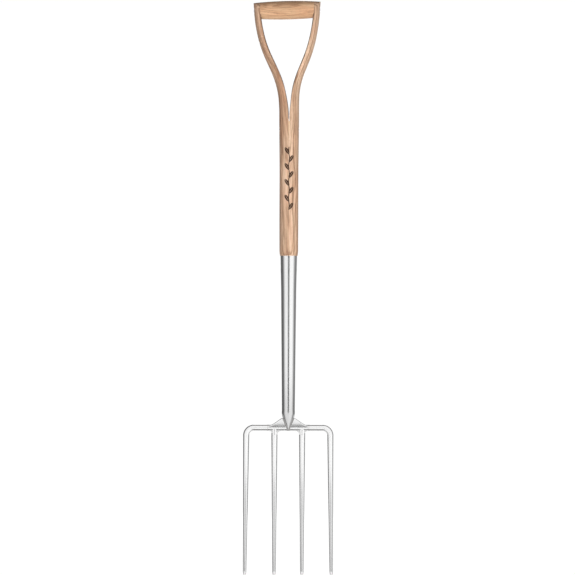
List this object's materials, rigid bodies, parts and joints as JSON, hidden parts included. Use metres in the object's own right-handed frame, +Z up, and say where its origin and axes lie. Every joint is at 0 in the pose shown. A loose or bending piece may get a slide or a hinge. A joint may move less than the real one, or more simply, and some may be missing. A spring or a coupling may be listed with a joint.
{
  "type": "digging fork",
  "caption": "Full-size garden digging fork with an ash shaft bent into a split D handle, a tapered stainless steel socket and a tined steel head.",
  "frame": {"origin": "on the ground under the middle of the footprint, level with the tine tips", "axes": "+Z up the handle, -Y the way the tine tips curve (the working face), +X to the right seen from the working face; the shaft's axis is at X 0, Y 11.13 mm"},
  "size_m": [0.1758, 0.061, 1.1171],
  "materials": {
    "ash": "oiled ash, grain along the shaft and round the bends",
    "ash_grip": "turned ash, grain along the grip",
    "wedge_wood": "pale hardwood, glued in",
    "stainless": "bright polished stainless steel with a faint lengthwise grain",
    "weld_steel": "dressed weld metal",
    "fixing_steel": "bright steel"
  },
  "bodies": {
    "root": {"handle_shaft": "ash", "handle_grip": "ash_grip", "grip_rod": "fixing_steel", "grip_rod_washers": "fixing_steel", "throat_wedge": "wedge_wood", "throat_rivet": "fixing_steel", "throat_rivet_burrs": "fixing_steel", "socket": "stainless", "socket_seam_weld": "weld_steel", "socket_nose_welds": "weld_steel", "socket_rivets": "fixing_steel", "head_centre": "stainless", "outer_tine_left": "stainless", "outer_tine_right": "stainless", "shoulder_welds": "weld_steel"}
  },
  "joints": []
}
